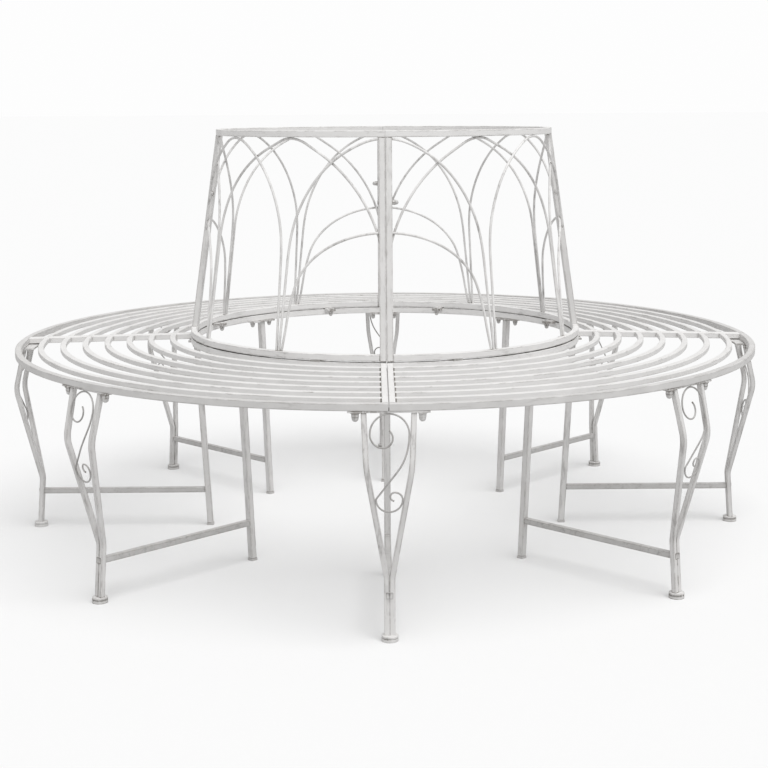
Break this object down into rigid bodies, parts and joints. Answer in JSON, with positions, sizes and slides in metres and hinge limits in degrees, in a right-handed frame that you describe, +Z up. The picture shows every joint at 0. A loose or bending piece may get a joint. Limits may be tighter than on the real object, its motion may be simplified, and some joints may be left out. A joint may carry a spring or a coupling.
{
  "type": "round tree bench",
  "caption": "Round metal bench that stands around a tree trunk, with a slatted ring seat, a conical wire backrest facing outwards and bowed legs with scrolls.",
  "frame": {"origin": "on the ground at the centre of the ring", "axes": "+Z up, the front seam between two seat quadrants faces -Y, +X to the right"},
  "size_m": [1.6378, 1.6378, 0.8845],
  "materials": {
    "painted_seat": "distressed off-white paint",
    "painted_frame": "distressed off-white paint with grey-brown wear on the edges",
    "painted_wire": "distressed off-white paint, worn darker",
    "painted_fasteners": "painted over, satin",
    "end_plugs": "matt"
  },
  "bodies": {
    "root": {"back_arches_front_left": "painted_wire", "back_arches_front_right": "painted_wire", "back_arches_rear_left": "painted_wire", "back_arches_rear_right": "painted_wire", "back_bottom_rail_front_left": "painted_frame", "back_bottom_rail_front_right": "painted_frame", "back_bottom_rail_rear_left": "painted_frame", "back_bottom_rail_rear_right": "painted_frame", "back_posts_front_left": "painted_frame", "back_posts_front_right": "painted_frame", "back_posts_rear_left": "painted_frame", "back_posts_rear_right": "painted_frame", "back_top_rail_front_left": "painted_frame", "back_top_rail_front_right": "painted_frame", "back_top_rail_rear_left": "painted_frame", "back_top_rail_rear_right": "painted_frame", "bolts": "painted_fasteners", "foot_discs": "painted_frame", "inner_leg_front": "painted_frame", "inner_leg_front_left": "painted_frame", "inner_leg_front_right": "painted_frame", "inner_leg_left": "painted_frame", "inner_leg_plates": "painted_frame", "inner_leg_plugs": "end_plugs", "inner_leg_rear": "painted_frame", "inner_leg_rear_left": "painted_frame", "inner_leg_rear_right": "painted_frame", "inner_leg_right": "painted_frame", "large_nuts_and_washers": "painted_fasteners", "leg_scrolls": "painted_wire", "leg_stretchers": "painted_frame", "outer_leg_front": "painted_frame", "outer_leg_front_left": "painted_frame", "outer_leg_front_right": "painted_frame", "outer_leg_left": "painted_frame", "outer_leg_plates": "painted_frame", "outer_leg_rear": "painted_frame", "outer_leg_rear_left": "painted_frame", "outer_leg_rear_right": "painted_frame", "outer_leg_right": "painted_frame", "rail_tabs": "painted_frame", "rim_studs": "painted_fasteners", "seat_end_bars_front_left": "painted_seat", "seat_end_bars_front_right": "painted_seat", "seat_end_bars_rear_left": "painted_seat", "seat_end_bars_rear_right": "painted_seat", "seat_inner_rim_front_left": "painted_seat", "seat_inner_rim_front_right": "painted_seat", "seat_inner_rim_rear_left": "painted_seat", "seat_inner_rim_rear_right": "painted_seat", "seat_outer_rim_front_left": "painted_seat", "seat_outer_rim_front_right": "painted_seat", "seat_outer_rim_rear_left": "painted_seat", "seat_outer_rim_rear_right": "painted_seat", "seat_slats_front_left": "painted_seat", "seat_slats_front_right": "painted_seat", "seat_slats_rear_left": "painted_seat", "seat_slats_rear_right": "painted_seat", "seat_tabs": "painted_seat", "small_nuts": "painted_fasteners"}
  },
  "joints": []
}
